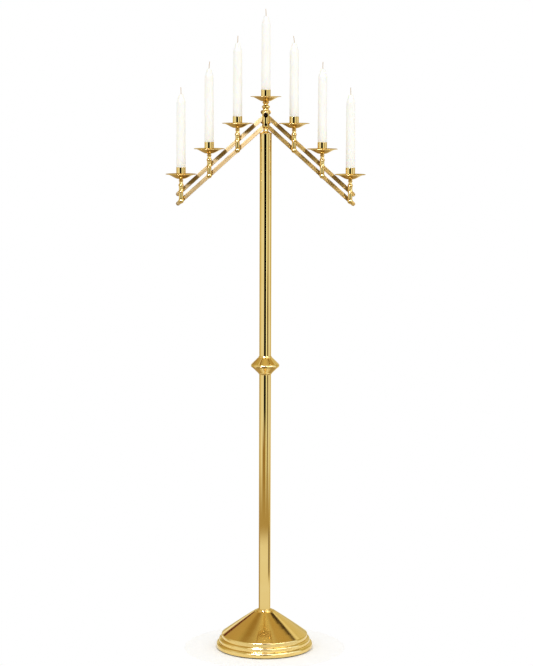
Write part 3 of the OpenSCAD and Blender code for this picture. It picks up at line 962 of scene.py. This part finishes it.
def make_sky():
    """What lights the wax, then what the brass mirrors."""
    sky = Sky()
    sky.room((0.86, 0.86, 0.86))
    sky.card((1.12, 1.12, 1.10), az=(-40, 75), soft=25)
    sky.card((1.22, 1.22, 1.22), el=(50, 100), el_soft=15)
    lit = sky.colour

    sky.room((0.62, 0.54, 0.26))
    # softboxes and walls, left to right
    sky.card((0.85, 0.77, 0.66), az=(-108, -78), soft=4)
    sky.card((0.96, 1.00, 1.09), az=(-84, -20), el=(-90, 22), soft=4)
    sky.card((1.70, 1.90, 1.90), az=(16, 29), soft=2)
    sky.card((0.69, 0.66, 0.68), az=(29, 50), soft=4)
    sky.card((0.62, 0.56, 0.52), az=(50, 72), soft=4)
    sky.card((1.08, 1.22, 1.60), az=(74, 98), soft=4)
    # high panels in front
    sky.card((3.00, 3.20, 4.50), az=(34, 74), el=(12, 25), soft=4, el_soft=3)
    sky.card((3.00, 3.30, 5.20), az=(-46, -13), el=(26, 37), soft=2, el_soft=2)
    sky.card((2.80, 2.70, 2.80), az=(22, 58), el=(21, 32), soft=2, el_soft=2)
    # ceiling, the panel over the camera and the camera's stand
    sky.card((0.60, 0.50, 0.28), el=(66, 80), el_soft=5)
    sky.card((0.76, 0.63, 0.33), el=(78, 100), el_soft=4)
    sky.card((2.80, 3.00, 5.00), az=(-32, 24), el=(31, 64), soft=3, el_soft=4)
    sky.card((0.12, 0.09, 0.05), az=(-8, 7), el=(-9.6, 50), soft=2, el_soft=3)
    # behind on the right
    sky.card((0.78, 0.70, 0.44), az=(140, 174), el=(8, 44), soft=3, el_soft=4)
    sky.card((0.56, 0.40, 0.16), az=(106, 131), el=(44, 74), soft=10, el_soft=2)
    sky.card((0.04, 0.02, 0.01), az=(128.5, 142), el=(44, 60), soft=2.5, el_soft=2)
    sky.card((0.95, 0.90, 0.70), az=(128, 150), el=(36, 43), soft=5, el_soft=2)
    # behind on the left, with the dark red line low on the base's cone
    sky.card((0.56, 0.41, 0.18), az=(-154, -126), el=(17, 60), soft=3, el_soft=4)
    sky.card((0.38, 0.25, 0.08), az=(-136, -112), el=(54, 72), soft=7, el_soft=7)
    sky.card((0.12, 0.004, 0.010), az=(-156.5, -149.5), el=(16, 29), soft=1, el_soft=1)
    sky.card((1.10, 1.05, 0.90), az=(-168, -158), el=(6, 15), soft=2, el_soft=2)
    # the dark side round the camera, and a dark stand to its right
    sky.card((0.002, 0.0015, 0.001), az=(-26, 18), el=(-9.6, 16), soft=1.5, el_soft=0.8)
    sky.card((0.002, 0.0015, 0.001), az=(-32, 18), el=(-2.9, 16), soft=1.5, el_soft=0.8)
    sky.card((0.10, 0.07, 0.04), az=(33, 49), el=(-13, -5.5), soft=2, el_soft=1)
    sky.card((0.03, 0.02, 0.01), az=(34, 47), el=(-13, -8.3), soft=2, el_soft=0.5)
    # floor
    sky.card((0.38, 0.26, 0.11), az=(-48, 15), el=(-14, -9.6), soft=6, el_soft=0.6)
    sky.card((0.50, 0.39, 0.21), el=(-90, -11), el_soft=1)
    sky.card((0.90, 0.82, 0.56), az=(120, 240), el=(-30, -4), soft=20, el_soft=8)
    sky.card((0.80, 0.72, 0.52), el=(-100, -64), el_soft=4)
    sky.card((0.93, 0.93, 0.95), az=(-104, 74), el=(-40, -12.3), soft=5, el_soft=0.3)
    sky.card((0.26, 0.17, 0.06), az=(-84, -2), el=(-62, -19), soft=5, el_soft=2)
    sky.card((0.30, 0.23, 0.13), az=(-2, 78), el=(-62, -20), soft=5, el_soft=2)
    sky.card((0.28, 0.22, 0.16), az=(74, 116), el=(-13.3, -12.1), soft=4, el_soft=0.25)
    sky.card((0.93, 0.93, 0.95), az=(70, 114), el=(-30, -13.4), soft=3, el_soft=0.2)
    sky.finish(lit)


# ---- everything ----------------------------------------------------------------------------

def main():
    """Builds everything. The hidden base parts keep their CAD shapes and only get a material."""
    make_camera()
    make_floor()
    make_sky()
    make_lamp("high_left_lamp", (31.0, 35.5, 68.0), az=(-34, -8), el=(26, 33))
    make_lamp("high_right_lamp", (4.40, 4.50, 5.50), az=(30, 62), el=(22, 33))
    bpy.context.scene.view_settings.view_transform = "Standard"
    mat = make_materials()
    make_base(mat)
    make_column(mat)
    make_hub(mat)
    make_pan(mat, "centre", "stand", 0)
    make_socket(mat, "centre", "stand", 0)
    make_candle(mat, "centre", 0)
    for side, sign in SIDES:
        make_bar(mat, side, sign, "upper", HUB_PIN)
        make_bar(mat, side, sign, "lower", LOW_PIN)
        for place in PLACES:
            name = f"{side}_{place}"
            at = joint_at(name + "_holder_turn")
            make_post(mat, name, at)
            make_pivots(mat, name, side, at)
            make_pan(mat, name, name + "_holder", at.x)
            make_socket(mat, name, name + "_holder", at.x)
            make_candle(mat, name, at.x)
    kept = {"base_weight": "iron", "base_plate": "steel", "base_screws": "steel",
            "tie_rod": "steel", "tie_rod_nut": "steel"}
    for node, key in kept.items():
        obj = frame["nodes"][node]
        obj.data.materials.clear()
        obj.data.materials.append(mat[key])


main()
